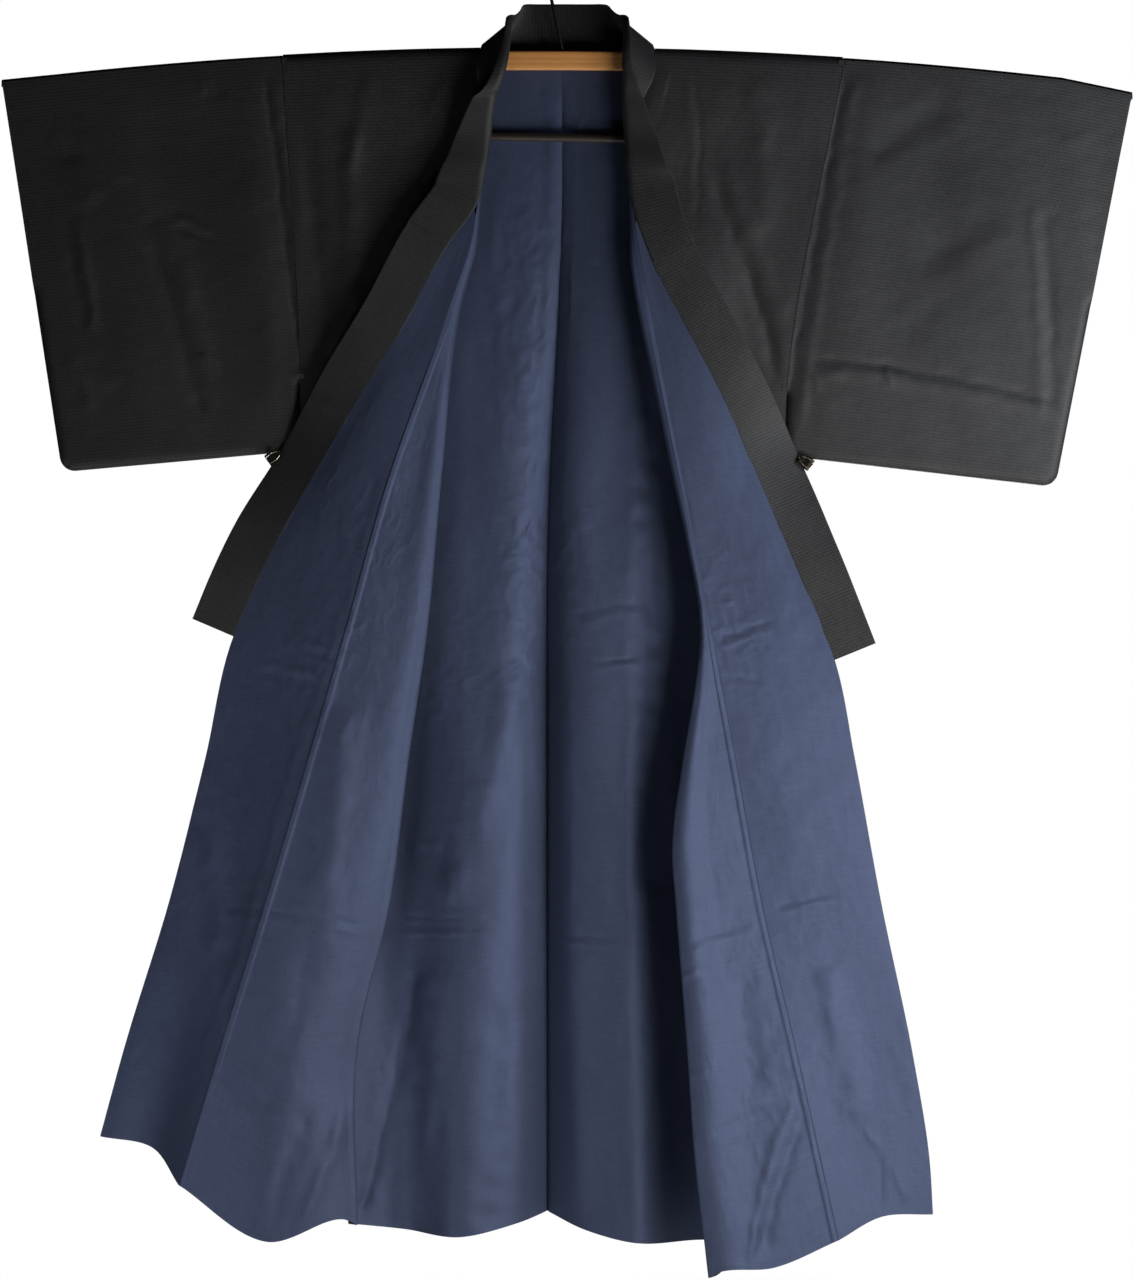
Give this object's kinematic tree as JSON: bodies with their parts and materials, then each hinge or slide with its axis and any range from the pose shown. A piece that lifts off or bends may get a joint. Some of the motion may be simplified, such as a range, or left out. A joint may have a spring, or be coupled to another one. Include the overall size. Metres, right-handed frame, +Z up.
{
  "type": "men's kimono on a hanger",
  "caption": "Full-length lined kimono with square sleeves, hung wide open on an arched wooden hanger, its turned-back fronts held to the sleeves by small clips.",
  "frame": {"origin": "inner top of the hanger's hook, where it rests on a rail", "axes": "+Z up, the garment's front faces -Y, the wearer's left side is at +X"},
  "size_m": [1.3563, 0.146, 1.586],
  "materials": {
    "outer_cloth": "matt ribbed black cloth",
    "lining_cloth": "smooth dark blue lining",
    "light_wood": "satin varnish",
    "dark_wood": "dark satin varnish",
    "dark_metal": "dark satin",
    "steel": "bright wire"
  },
  "bodies": {
    "root": {"back_right": "outer_cloth", "back_left": "outer_cloth", "front_right": "outer_cloth", "front_left": "outer_cloth", "okumi_right": "outer_cloth", "okumi_left": "outer_cloth", "sleeve_right": "outer_cloth", "sleeve_left": "outer_cloth", "collar": "outer_cloth", "over_collar": "outer_cloth", "lining_back_right": "lining_cloth", "lining_back_left": "lining_cloth", "lining_front_right": "lining_cloth", "lining_front_left": "lining_cloth", "lining_okumi_right": "lining_cloth", "lining_okumi_left": "lining_cloth", "hanger_bar": "light_wood", "hanger_rod": "dark_wood", "hanger_hook": "dark_metal", "clip_right": "dark_metal", "clip_left": "dark_metal", "hanger_link_right": "steel", "hanger_link_left": "steel", "clip_wire_front_right": "steel", "clip_wire_front_left": "steel", "clip_wire_back_right": "steel", "clip_wire_back_left": "steel"}
  },
  "joints": []
}
